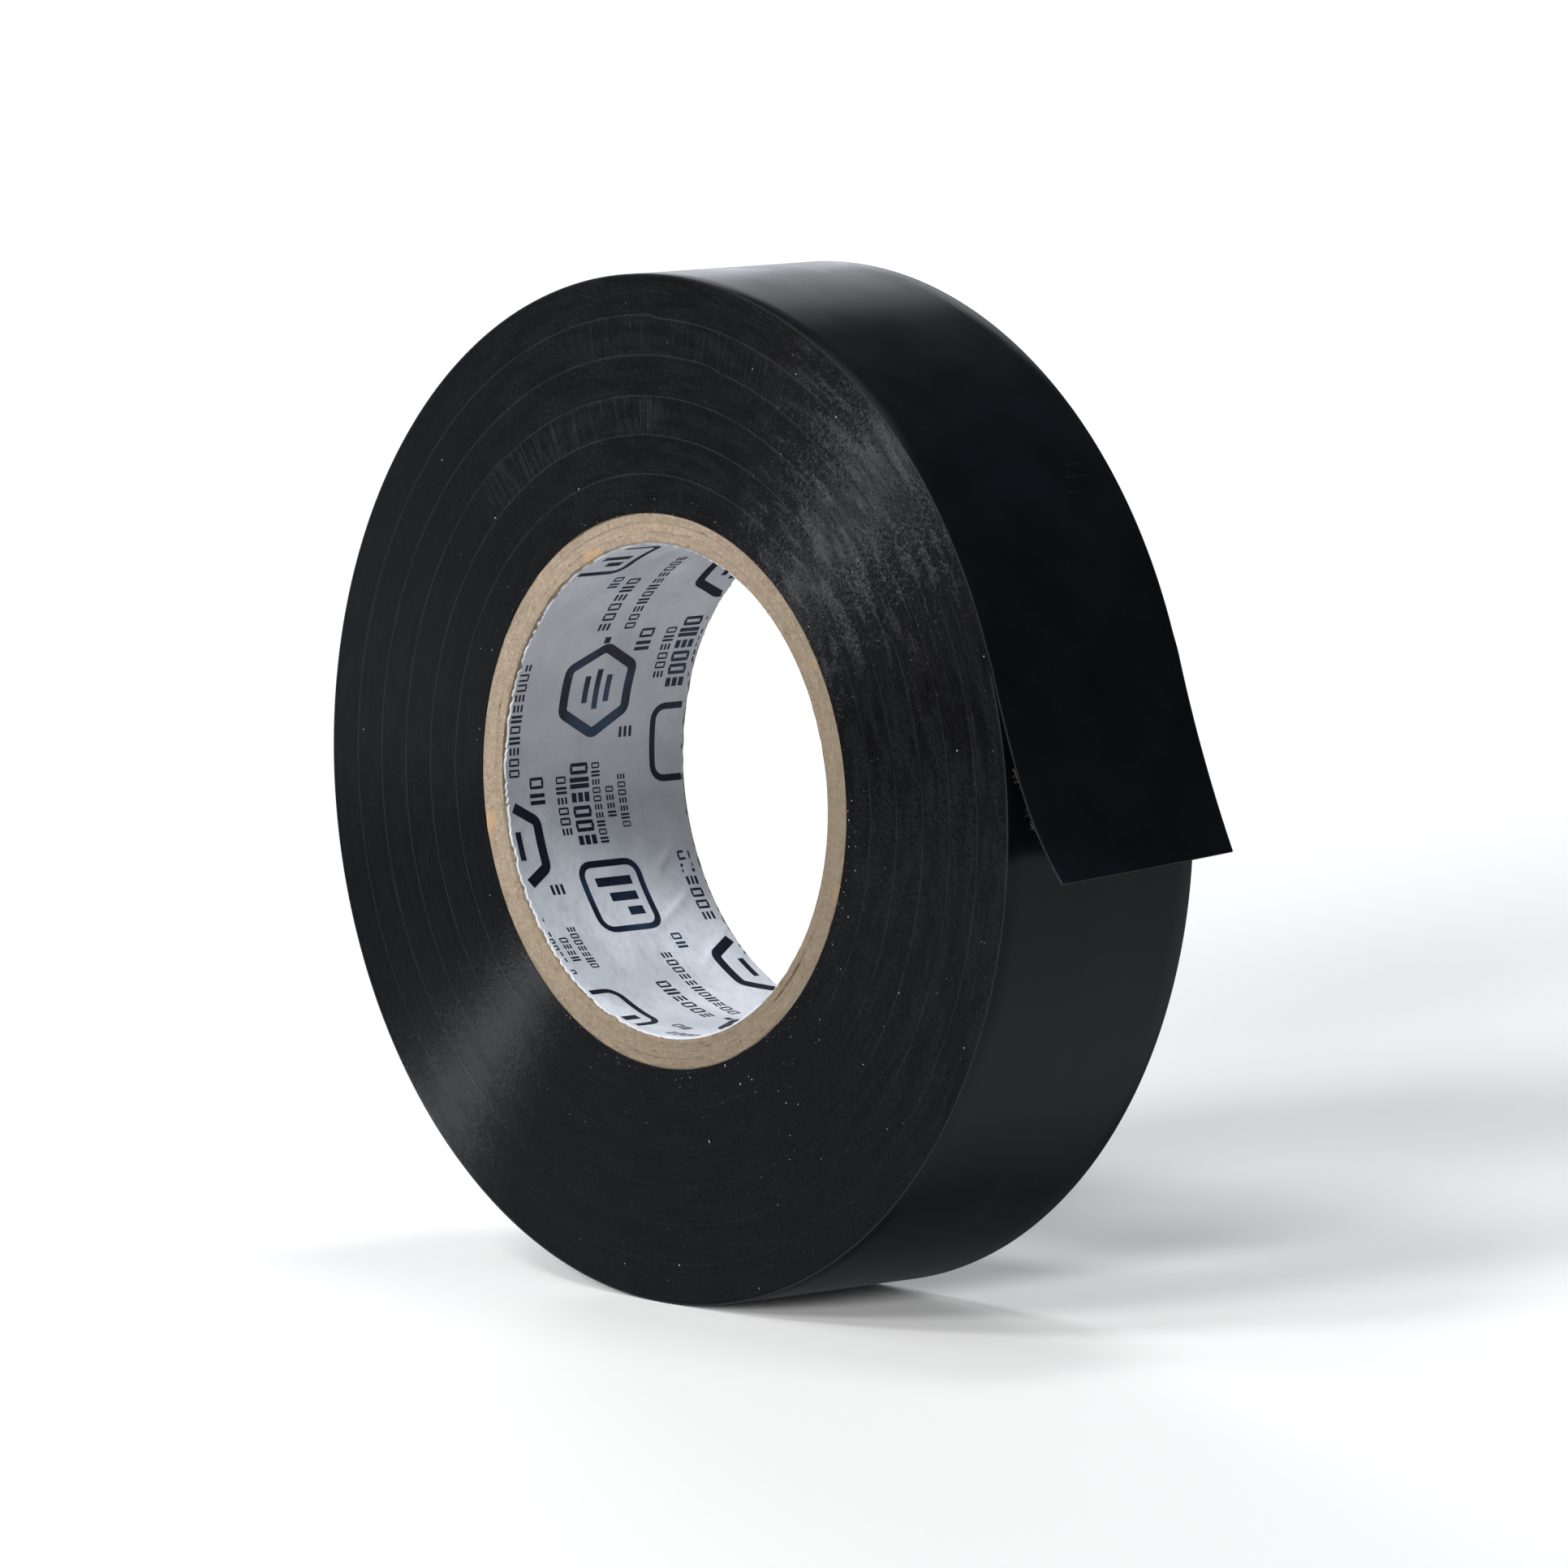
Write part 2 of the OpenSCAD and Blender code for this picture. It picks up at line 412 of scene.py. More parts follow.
def liner_material():
    """The core's white coated paper: cloudy, with painted shade about its middle height, finely crumpled, and
    brighter where its ends are torn."""
    material, nodes, shader = new_material("liner_paper")
    shader.inputs["Specular IOR Level"].default_value = 0.45
    place = nodes.place()
    cloudy = nodes.noise(place, 120.0, 4.0, 0.6)
    pulp = nodes.noise(place, 1500.0, 4.0, 0.6)
    crumple = nodes.noise(place, 330.0, 3.0, 0.55)
    torn = nodes.math("MULTIPLY", nodes.mask("torn").outputs["Fac"], nodes.span(crumple, 0.42, 0.56))
    tint = nodes.mix(nodes.span(cloudy, 0.36, 0.64), (0.43, 0.452, 0.485, 1), (0.59, 0.61, 0.638, 1))
    z = nodes.apart(place)[2]
    # painted shade: the paper is darkened about its middle height
    painted_shade_middle = nodes.span(z, -15 * MM, -3 * MM, 0.0, 0.45)
    painted_shade_middle = nodes.math("MULTIPLY", painted_shade_middle, nodes.span(z, 17 * MM, 9 * MM))
    tint = nodes.mix(painted_shade_middle, tint, (0.29, 0.305, 0.325, 1))
    tint = nodes.mix(nodes.span(pulp, 0.4, 0.75, 0.0, 0.3), tint, (0.38, 0.40, 0.42, 1))
    tint = nodes.mix(torn, tint, (0.50, 0.505, 0.51, 1))
    nodes.plug(tint, shader.inputs["Base Color"])
    rough = nodes.math("ADD", nodes.span(crumple, 0.3, 0.7, 0.30, 0.46), nodes.math("MULTIPLY", torn, 0.4))
    nodes.plug(rough, shader.inputs["Roughness"])
    height = nodes.math("ADD", crumple, nodes.math("MULTIPLY", pulp, 0.35))
    nodes.plug(nodes.bump(height, 0.14 * MM), shader.inputs["Normal"])
    return material


def ink_material():
    """Navy printing ink, thin and a little broken up."""
    material, nodes, shader = new_material("liner_ink")
    shader.inputs["Specular IOR Level"].default_value = 0.2
    worn = nodes.noise(nodes.place(), 2400.0, 3.0, 0.65)
    flow = nodes.noise(nodes.place(), 140.0, 2.0, 0.5)
    tint = nodes.mix(nodes.span(flow, 0.50, 0.72), (0.0045, 0.0060, 0.0150, 1), (0.020, 0.042, 0.085, 1))
    tint = nodes.mix(nodes.span(worn, 0.66, 0.78, 0.0, 0.5), tint, (0.35, 0.38, 0.43, 1))
    nodes.plug(tint, shader.inputs["Base Color"])
    nodes.plug(nodes.span(worn, 0.3, 0.7, 0.35, 0.6), shader.inputs["Roughness"])
    return material


def lint_material(name, dark, light):
    """Fine fibres or dust between two shades, with a few brown bits of board among them."""
    material, nodes, shader = new_material(name, Roughness=0.95)
    shader.inputs["Specular IOR Level"].default_value = 0.2
    shade = nodes.noise(nodes.place(), 800.0, 2.0, 0.5)
    tint = nodes.mix(nodes.span(shade, 0.35, 0.65), dark, light)
    warm = nodes.noise(nodes.place(), 300.0, 2.0, 0.5)
    tint = nodes.mix(nodes.span(warm, 0.55, 0.62, 0.0, 0.8), tint, (0.17, 0.09, 0.045, 1))
    nodes.plug(tint, shader.inputs["Base Color"])
    return material


def floor_material():
    """A plain pale table top."""
    material, nodes, shader = new_material("pale_floor", Roughness=0.7)
    shader.inputs["Specular IOR Level"].default_value = 0.1
    cloud = nodes.noise(nodes.place(), 3.0, 3.0, 0.5)
    nodes.plug(nodes.mix(cloud, (0.80, 0.80, 0.80, 1), (0.82, 0.82, 0.82, 1)), shader.inputs["Base Color"])
    return material


# ---------------------------------------------------------------- wound turns and core

angles = peel_a + np.arange(ROUND) / ROUND * TAU
JOG_AT = {1: 215, 2: 300, 3: 128, 4: 80, 5: 92}    # degrees, for each ring between two bands


def ring_edge(band):
    """Where one band of turns ends and the next begins, all round. The bands sit a little off centre,
    and each has one short jog where the tape tightened."""
    if band == 0:
        return np.full(ROUND, core_r)
    if band == BANDS:
        return roll_r - tape_t * (1 + np.arange(ROUND) / ROUND)
    drift = 0.34 * MM * np.cos(angles - math.radians(188)) * math.sin(math.pi * band / BANDS) ** 0.5
    past_jog = turned(angles, JOG_AT[band])
    jog = 0.22 * MM * window(past_jog, 0, 40, 1.5) * np.exp(-np.abs(past_jog) / 30)
    return core_r + band * band_t + drift + jog


def ring_row(front, back):
    """The outlines round the roll whose front and back chains of (radius, y) are given."""
    radius = np.concatenate([front[0], back[0][::-1]])
    y = np.concatenate([front[1], back[1][::-1]])
    return np.stack([radius * np.cos(angles), y, radius * np.sin(angles)], axis=-1).transpose(1, 0, 2)


def wound_band(band, material):
    """About 17 turns of tape, whose edges stand at slightly different heights on the roll's sides. A fine
    pale ridge parts it from the next band, painted paler across the upper left and at the right as a partly
    painted highlight, and two bands carry chatter marks across their turns."""
    inner, outer = ring_edge(band - 1), ring_edge(band)
    steps = 2 * TURNS_IN_BAND
    share = np.linspace(0, 1, steps + 1)[:, None]
    radius = inner + (outer - inner) * share
    groove = 0.006 * MM           # between two turns
    crown = 0.02 * MM             # of the band's middle
    sunk, ring_sunk = 0.045 * MM, 0.022 * MM
    chains = []
    for side in (-1, 1):
        height = groove * soft_noise(steps + 1, ROUND, 14)
        height[1::2] += 0.004 * MM * soft_noise(TURNS_IN_BAND, ROUND, 5)
        height[::2] -= groove
        height += crown * np.sin(math.pi * share) - sunk
        height[0], height[-1] = -ring_sunk, -ring_sunk
        chains.append((radius, side * (half_w + height)))
    ridge = np.zeros((steps + 1, ROUND))
    # partly painted highlight: the pale ridge is strongest across the upper left and at the right, faint
    # elsewhere
    ridge_strength_and_glint = 0.15 + 0.85 * window(turned(angles, 128), -58, 70, 40)
    ridge_strength_and_glint += 0.5 * window(turned(angles, 0), -30, 22, 15)
    if band > 1:
        ridge[0] = ridge_strength_and_glint
    if band < BANDS:
        ridge[-1] = ridge_strength_and_glint
    chatter = np.zeros(ROUND)
    if band == 3:
        chatter = window(turned(angles, 108), -14, 22, 9)
    if band == 5:
        chatter = 0.5 * window(turned(angles, 84), -16, 18, 12)
    chatter = np.broadcast_to(chatter, ridge.shape)
    masks = {"ridge": np.concatenate([ridge, ridge[::-1]]).T.ravel(),
             "chatter": np.concatenate([chatter, 0 * chatter]).T.ravel()}
    solid = skin(ring_row(*chains), True)
    made = piece(f"wound_turns_{band}", solid, material, "roll", 50, masks)
    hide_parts(f"turns_{band}")


def core_board(ply, material):
    """One wound layer of kraft board, its cut ends rough and its corners frayed."""
    inner = liner_r + (core_r - liner_r) * (ply - 1) / BOARDS
    outer = liner_r + (core_r - liner_r) * ply / BOARDS
    steps = 7
    share = np.linspace(0, 1, steps + 1)[:, None]
    wander = 0.02 * MM * soft_noise(1, ROUND, 9) * (ply < BOARDS)
    radius = inner + (outer - inner) * share + np.zeros(ROUND)
    radius[1:-1] += wander
    sunk, border_sunk = 0.10 * MM, 0.11 * MM
    inner_corner, outer_corner = 0.17 * MM, 0.15 * MM
    chains = []
    for side in (-1, 1):
        height = 0.022 * MM * soft_noise(steps + 1, ROUND, 90) + 0.03 * MM * soft_noise(1, ROUND, 12)
        height -= sunk
        height[0] = -inner_corner if ply == 1 else -border_sunk
        height[-1] = -outer_corner if ply == BOARDS else -border_sunk
        chains.append((radius, side * (half_w + height)))
    seam = np.zeros((steps + 1, ROUND))
    if ply < BOARDS:
        seam[-1] = window(turned(angles, 115), -70, 65, 30)
    masks = {"seam": np.concatenate([seam, seam[::-1]]).T.ravel()}
    solid = skin(ring_row(*chains), True)
    made = piece(f"core_board_{ply}", solid, material, "roll", 50, masks)
    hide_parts(f"core_ply_{ply}")


# ---------------------------------------------------------------- printed liner

CREASES = (                   # degrees and y at the start, degrees and y at the end, height, in mm
    (208, 4.6, 196, 8.9, 0.30),
    (199, 6.4, 191, 9.2, 0.22),
    (213, 7.4, 200, 8.2, 0.18),
    (224, 1.5, 214, 7.0, 0.16),
    (236, 4.0, 226, 8.6, 0.12),
    (232, -4.5, 248, -8.8, 0.04),
    (262, 1.0, 241, 7.5, 0.03),
    (143, -6.0, 160, 3.0, 0.03),
    (178, -8.8, 187, -5.5, 0.04),
    (30, -7.0, 48, 2.0, 0.05),
    (330, 3.0, 310, 8.6, 0.06),
)
liner_waves = rng.uniform(0, TAU, size=(2, 9))


def liner_lift(angle, y):
    """How far the paper stands off the core towards the axis."""
    around = angle % TAU * bore_r
    wave_height, wave_width, crease_width = 0.010 * MM, 3.5 * MM, 0.28 * MM
    lift = np.zeros(np.broadcast(angle, y).shape)
    for k, (phase, slant) in enumerate(liner_waves.T):
        lift += wave_height * np.sin((k + 2) * angle * 3 + phase + math.cos(slant) * y / wave_width)
    for start_a, start_y, end_a, end_y, height in CREASES:
        start = np.array([math.radians(start_a) * bore_r, start_y * MM])
        run = np.array([math.radians(end_a) * bore_r, end_y * MM]) - start
        share = ((around - start[0]) * run[0] + (y - start[1]) * run[1]) / (run @ run)
        gap = np.hypot(around - start[0] - share * run[0], y - start[1] - share * run[1])
        lift += height * MM * np.exp(-(gap / crease_width) ** 2) * window(share, 0.15, 0.85, 0.25)
    return lift


def liner_point(angle, y, lift=0.0):
    """A point on the liner's printed side, or lifted off it towards the axis."""
    radius = bore_r - liner_lift(angle, y) * 0.5 - lift
    y = np.broadcast_to(y, radius.shape)
    return np.stack([radius * np.cos(angle), y, radius * np.sin(angle)], axis=-1)


LINER_ROUND = 600             # points round the paper
LINER_STEPS = 56              # and faces across it


def printed_liner(material):
    """The paper tube, its two ends torn ragged."""
    angle = np.arange(LINER_ROUND) / LINER_ROUND * TAU
    edges = []
    for side in (-1, 1):
        rag = 0.10 * MM * soft_noise(1, LINER_ROUND, 170)[0]
        rag += 0.09 * MM * soft_noise(1, LINER_ROUND, 45)[0]
        edges.append(side * (half_w - 0.32 * MM - np.abs(rag)))
    share = np.linspace(0, 1, LINER_STEPS + 1)[:, None]
    y = edges[0] + (edges[1] - edges[0]) * share
    inner = liner_point(angle[None, :], y)
    radius = liner_r - 0.01 * MM
    lip = 1.004                   # the side on the board reaches a little further than the printed one
    outer = []
    for edge in reversed(edges):
        outer.append(np.stack([radius * np.cos(angle), edge * lip, radius * np.sin(angle)], axis=-1))
    rows = np.concatenate([inner, np.array(outer)]).transpose(1, 0, 2)
    torn = np.zeros((LINER_STEPS + 3, LINER_ROUND))
    torn[[0, LINER_STEPS, LINER_STEPS + 1, LINER_STEPS + 2]] = 1
    made = piece("liner", skin(rows, True), material, "roll", 50, {"torn": torn.T.ravel()})
    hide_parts("printed_liner")


INK_T = 0.012 * MM
PRINT_EDGE = half_w - 0.55 * MM
PRINT_PERIOD = 37.4 * MM      # from one column of the print to the next
ROW_PITCH = 9.0 * MM          # from one row to the next
ROW_SHIFT = 12.07 * MM        # how far each row starts past the one before
PRINT_SLOPE = -0.0214         # how much y changes along a row
PRINT_START = math.radians(213.3)


def print_place(along, up, column, row):
    """Angle and y of a point of the print, whose columns repeat round the liner and rows across it."""
    run = along + column * PRINT_PERIOD + row * ROW_SHIFT
    y = row * ROW_PITCH - 0.2 * MM - up + PRINT_SLOPE * (run - row * ROW_SHIFT)
    return PRINT_START - run / bore_r, y


def ink_line(path, width, cell, closed=False):
    """Solids of one inked line along a path of (along, up) points, cut off at the liner's ends."""
    path = np.asarray(path, float)
    if closed:
        heading = np.roll(path, -1, axis=0) - np.roll(path, 1, axis=0)
    else:
        heading = np.gradient(path, axis=0)
    heading /= np.linalg.norm(heading, axis=1)[:, None]
    aside = np.stack([-heading[:, 1], heading[:, 0]], axis=-1) * width / 2
    rows = []
    for sign, lift in ((1, INK_T), (-1, INK_T), (-1, -INK_T), (1, -INK_T)):
        spot = path + sign * aside
        angle, y = print_place(spot[:, 0], spot[:, 1], *cell)
        rows.append(np.concatenate([liner_point(angle, y, lift), y[:, None]], axis=-1))
    rows = np.stack(rows, axis=1)
    inside = np.abs(rows[:, :, 3]).max(axis=1) < PRINT_EDGE
    if closed and inside.all():
        return [skin(rows[:, :, :3], True)]
    if closed:
        first_out = int(np.argmin(inside))
        rows, inside = np.roll(rows, -first_out, axis=0), np.roll(inside, -first_out)
    solids, run = [], []
    for k in range(len(rows) + 1):
        if k < len(rows) and inside[k]:
            run.append(rows[k, :, :3])
            continue
        if len(run) > 1:
            solids.append(skin(run, False))
        run = []
    return solids


def ink_bar(along, up, length, height, cell):
    """A solid bar of ink, centred on (along, up)."""
    steps = max(2, int(abs(length) / (0.5 * MM)) + 1)
    path = [(along + length * (k / (steps - 1) - 0.5), up) for k in range(steps)]
    return ink_line(path, height, cell)


BOX_SIDES = np.array([(-1, -1), (0, -1), (1, -1), (1, 0), (1, 1), (0, 1), (-1, 1), (-1, 0)])


def ink_blocks(along, up, length, height, cell, pitch):
    """A row of small marks that fills a line of the print: hollow boxes, and pairs and stacks of bars.
    Tall lines are printed bolder."""
    count = max(1, round(length / pitch))
    step = length / count
    weight = 0.27 if height > 1.6 * MM else 0.2
    solids = []
    for k in range(count):
        middle = along + step * (k + 0.5 - count / 2)
        form = (0, 1, 2, 0, 2, 1, 1, 0)[(k * 5 + count) % 8]
        if form == 0:                # a hollow box
            reach = np.array([step * 0.27, height * 0.40])
            box = reach * BOX_SIDES + (middle, up)
            solids += ink_line(box, min(height, step) * weight, cell, True)
        elif form == 1:              # three bars, stacked
            for shift in (-0.34, 0.0, 0.34):
                solids += ink_bar(middle, up + shift * height, step * 0.66, height * weight * 0.9, cell)
        else:                        # two upright bars
            for shift in (-0.22, 0.22):
                solids += ink_bar(middle + shift * step, up, step * (weight + 0.06), height, cell)
    return solids


def frame_path(sides, radius, corner, turn):
    """The outline of a rounded polygon. radius is from its middle to its corners before rounding."""
    path = []
    for k in range(sides):
        middle = math.radians(turn) + TAU * k / sides
        reach = radius - corner / math.cos(math.pi / sides)
        centre = np.array([reach * math.cos(middle), reach * math.sin(middle)])
        for share in np.linspace(-0.5, 0.5, 6):
            swing = middle + share * TAU / sides
            path.append(centre + corner * np.array([math.cos(swing), math.sin(swing)]))
    dense = []
    for start, end in zip(path, path[1:] + path[:1]):
        count = max(1, int(np.linalg.norm(end - start) / (0.4 * MM)))
        dense += [start + (end - start) * k / count for k in range(count)]
    return np.array(dense)


def print_cell(cell):
    """One repeat of the print: a square frame, lines of marks, a hexagon frame and more lines."""
    square = frame_path(4, 4.1 * MM, 1.1 * MM, 45)
    solids = ink_line(square, 0.55 * MM, cell, True)
    for along, height in ((-1.35, 1.5), (0.0, 2.7), (1.35, 3.6)):
        solids += ink_bar(along * MM, (height / 2 - 1.9) * MM, 0.75 * MM, height * MM, cell)
    lines = (                 # along, up, length, height, pitch
        (-4.6, -3.6, 1.8, 1.0, 0.90),
        (7.75, 3.15, 4.9, 1.10, 0.82),
        (7.75, 1.25, 6.8, 1.95, 1.13),
        (7.75, -0.45, 6.6, 0.85, 0.66),
        (7.75, -1.75, 2.6, 0.85, 0.65),
        (7.75, -3.05, 4.4, 0.85, 0.63),
        (13.2, -3.5, 1.3, 1.5, 1.30),
        (21.2, -3.6, 2.5, 1.5, 1.25),
        (25.5, 1.3, 6.5, 1.30, 1.08),
        (27.1, -1.4, 9.6, 1.10, 0.87),
    )
    for along, up, length, height, pitch in lines:
        solids += ink_blocks(along * MM, up * MM, length * MM, height * MM, cell, pitch * MM)
    hexagon_at = 17.0 * MM
    hexagon = frame_path(6, 3.7 * MM, 0.7 * MM, 0) + (hexagon_at, 0)
    solids += ink_line(hexagon, 0.85 * MM, cell, True)
    for up in (-1.1, 0.0, 1.1):
        solids += ink_bar(hexagon_at, up * MM, (3.4 - abs(up)) * MM, 0.55 * MM, cell)
    solids += ink_bar(hexagon_at + 4.4 * MM, 0.3 * MM, 0.6 * MM, 0.6 * MM, cell)
    return solids


def liner_print(material):
    """All the print that lies on the liner, as raised ink."""
    solids = []
    for row in (-1, 0, 1):
        for column in (-2, -1, 0):
            solids += print_cell((column, row))
    piece("liner_print", join(solids), material, "roll")


# ---------------------------------------------------------------- outer turn and free end

SEGMENTS = len(hinges)
segment_l = (hinges[1] - hinges[0]).length
free_l = SEGMENTS * segment_l
lift_off = hinges[0].length - (roll_r - tape_t / 2)


def heading_of(start, end):
    """The angle from straight down to the way from start to end, in the roll's plane."""
    return math.atan2(end.x - start.x, start.z - end.z)


curl = (heading_of(hinges[3], hinges[4]) - heading_of(hinges[0], hinges[1])) / (3 * segment_l)
first_heading = heading_of(hinges[0], hinges[1]) - curl * segment_l / 2

CORNER_CURL = 0.95 * MM       # how far the front corner of the free end curls outwards
CUT_SLANT = 0.75 * MM         # how far the slanted cut runs on at the front edge
CUT_RIM = 0.03 * MM           # the length of film next to the cut over which the cut's painted highlight fades in
JOIN = 2.1 * MM               # where the outer turn hands over to the free end, before the peel line


def tape_point(s, y, out):
    """Points on the tape: s along it past the peel line, y across it, out from its middle surface."""
    s, y, out = np.broadcast_arrays(s, y, out)
    angle = peel_a - s / roll_r
    radius = roll_r - tape_t / 2 - tape_t * (angle - peel_a) / TAU + out
    radius = radius + lift_off * smooth_step(s, -JOIN * 0.95, 0)
    heading = first_heading + curl * s
    front = (1 - y / half_w) / 2
    curled = out + CORNER_CURL * front * np.clip(2 * s / free_l - 1, 0, 1.3) ** 2
    x = hinges[0].x + (math.cos(first_heading) - np.cos(heading)) / curl + curled * np.cos(heading)
    z = hinges[0].z - (np.sin(heading) - math.sin(first_heading)) / curl + curled * np.sin(heading)
    free = s > 0
    x = np.where(free, x, radius * np.cos(angle))
    z = np.where(free, z, radius * np.sin(angle))
    return np.stack([x, y, z], axis=-1)


def layer_outline(low, high, soft, across=14):
    """The cross-section of one layer of the tape, its edges rounded by soft, as y and out of each point
    and how strong the painted highlight along its edges is there."""
    edge = half_w - 0.004 * MM
    ys = np.concatenate([[-edge, -edge + 0.3 * soft], np.linspace(-edge + soft, edge - soft, across),
                         [edge - 0.3 * soft, edge]])
    drop = np.concatenate([[1, 0.3], np.zeros(across), [0.3, 1]]) * soft
    y = np.concatenate([ys, ys[::-1]])
    out = np.concatenate([high - drop, (low + drop)[::-1]])
    # painted highlight along the rounded edges of the tape
    edge_highlight = np.concatenate([[0.35, 0.2], np.zeros(across), [0.2, 0.35]])
    return y, out, np.concatenate([edge_highlight, edge_highlight[::-1]])


LAYERS = {                    # from and to, out from the tape's middle surface, and edge rounding
    "adhesive": (-tape_t / 2, adhesive_t - tape_t / 2, 0.015 * MM),
    "film": (adhesive_t - tape_t / 2, tape_t / 2, 0.035 * MM),
}


def tape_strip(name, layer, material, start, end, step, cut_end=False):
    """One length of one layer of the tape, from start to end past the peel line."""
    y, out, edge_highlight = layer_outline(*LAYERS[layer])
    count = max(2, int(abs(end - start) / step) + 1)
    s = np.linspace(start, end, count)
    if cut_end:
        s = np.append(s[:-1], [end - CUT_RIM, end])
    s, y, out = np.broadcast_arrays(s[:, None], y, out)
    ripple = 0.004 * MM * np.sin(s / (2.3 * MM) + y / (4 * MM)) * np.sin(s / (7.1 * MM) + 1.3)
    edge_curl = 0.012 * MM * (np.abs(y) / half_w) ** 6
    if cut_end:
        s = start + (s - start) * (end - CUT_SLANT * y / half_w - start) / (end - start)
    rows = tape_point(s, y, out + ripple + edge_curl)
    # painted highlight: the long edges and the cut end are painted paler
    cut_edge_highlight = np.broadcast_to(edge_highlight, s.shape).copy()
    if cut_end:
        cut_edge_highlight[-1] = 1
    place = np.stack([s, y, out], axis=-1)
    masks = {"tape_place": place, "cut_edge_highlight": cut_edge_highlight.ravel()}
    return piece(name, skin(rows, False), material, sharp=50, masks=masks)


def tape_layer(layer, material):
    """One layer of the outer turn, and of the free end in a length round each hinge and a tip."""
    turn_start = -TAU * roll_r + 0.02 * MM
    turn = tape_strip(f"outer_turn_{layer}_skin", layer, material, turn_start, -JOIN, 0.55 * MM)
    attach(turn, "roll")
    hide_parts(f"outer_turn_{layer}")
    bodies = ["roll"] + [f"free_end_{k}" for k in range(1, SEGMENTS + 1)]
    reach = 0.42 * segment_l      # how far from each hinge the points of bend lie
    for k in range(SEGMENTS):
        start = -JOIN if k == 0 else (k - 0.5) * segment_l
        end = (k + 0.5) * segment_l
        strip = tape_strip(f"free_end_{layer}_skin_{k + 1}", layer, material, start, end, 0.15 * MM)
        bend_s = (-0.1 * MM if k == 0 else k * segment_l - reach, k * segment_l + reach)
        bend = [Vector(tape_point(s, 0.0, 0.0)) for s in bend_s]
        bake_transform(strip)
        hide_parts(f"free_end_{layer}_{k + 1}")
    tip = tape_strip(f"free_end_{layer}_skin_{SEGMENTS + 1}", layer, material,
                     (SEGMENTS - 0.5) * segment_l, free_l, 0.15 * MM, cut_end=True)
    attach(tip, bodies[-1])
    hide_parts(f"free_end_{layer}_{SEGMENTS}")


# ---------------------------------------------------------------- fibres and dust

def fibre(start, direction, length, radius):
    """A curved fibre with a six-sided section that tapers towards both ends."""
    direction = np.asarray(direction, float) / np.linalg.norm(direction)
    side = np.cross(direction, rng.normal(size=3))
    side /= np.linalg.norm(side)
    other = np.cross(direction, side)
    bend = rng.uniform(-0.5, 0.5) * length
    turns = np.arange(6) * TAU / 6
    rows = []
    for share in np.linspace(0, 1, 6):
        centre = start + direction * length * share + side * bend * share ** 2
        width = radius * (0.15 + 0.85 * math.sin(math.pi * (0.12 + 0.8 * share)))
        rows.append([centre + width * (side * math.cos(turn) + other * math.sin(turn)) for turn in turns])
    return skin(rows, False)


def edge_fibres(material):
    """Paper fibres that stand out of the liner's torn ends and the board's inner corners."""
    solids = []
    for _ in range(90):
        angle = rng.uniform(0, TAU)
        side = rng.choice([-1, 1])
        out = np.array([math.cos(angle), 0, math.sin(angle)])
        around = np.array([-math.sin(angle), 0, math.cos(angle)])
        start = out * (bore_r + rng.uniform(0.02, 0.3) * MM)
        start[1] = side * (half_w - rng.uniform(0.2, 0.45) * MM)
        aim = around * rng.normal() + out * rng.normal(-0.25, 0.4)
        aim[1] = side * rng.uniform(0.1, 0.5)
        solids.append(fibre(start, aim, rng.uniform(0.12, 0.42) * MM, rng.uniform(0.008, 0.018) * MM))
    piece("liner_edge_fibres", join(solids), material, "roll")


def free_end_fuzz(material):
    """Stray fibres of adhesive on the front edge of the free end, in the middle of two of its lengths."""
    for k, count in ((3, 12), (4, 16)):
        solids = []
        for _ in range(count):
            s = (k - 0.5 + rng.uniform(-0.32, 0.32)) * segment_l
            start = tape_point(s, -half_w, -0.4 * tape_t)
            along = tape_point(s + MM, -half_w, 0.0) - tape_point(s, -half_w, 0.0)
            inwards = start - tape_point(s, -half_w, 0.5 * tape_t)
            aim = along / MM * rng.normal(0, 0.8) + inwards / tape_t * rng.uniform(0.2, 1.2)
            aim[1] = -rng.uniform(0.1, 0.7)
            solids.append(fibre(start, aim, rng.uniform(0.15, 0.40) * MM, rng.uniform(0.008, 0.016) * MM))
        piece(f"free_end_fuzz_{k}", join(solids), material, f"free_end_{k}")


def speck(centre, size, side):
    """A crumb of dust with eight uneven corners, flatter than it is wide."""
    wide = rng.uniform(0.6, 1.0, size=8) * size
    turns = rng.uniform(0, TAU) + np.arange(8) * TAU / 8
    rows = []
    for height, reach in ((-0.25, 0.6), (0.05, 1.0), (0.3, 0.55)):
        out = wide * reach
        y = np.full(8, side * height * size)
        rows.append(centre + np.stack([out * np.cos(turns), y, out * np.sin(turns)], axis=-1))
    return skin(rows, False)


def side_dust(material):
    """Crumbs on both sides of the roll, most on the front, many of them near the core and to the right."""
    solids = []
    for _ in range(560):
        side = rng.choice([-1, -1, 1])
        if rng.random() < 0.5:
            radius = core_r + rng.exponential(0.9) * MM
        else:
            radius = rng.uniform(core_r, roll_r - 0.3 * MM)
        angle = math.radians(rng.normal(-20, 60)) if rng.random() < 0.6 else rng.uniform(0, TAU)
        radius = min(radius, roll_r - 0.4 * MM)
        centre = np.array([radius * math.cos(angle), side * (half_w - 0.02 * MM), radius * math.sin(angle)])
        solids.append(speck(centre, rng.lognormal(-3.2, 0.4) * MM, side))
    piece("side_dust", join(solids), material, "roll")


# ---------------------------------------------------------------- the roll

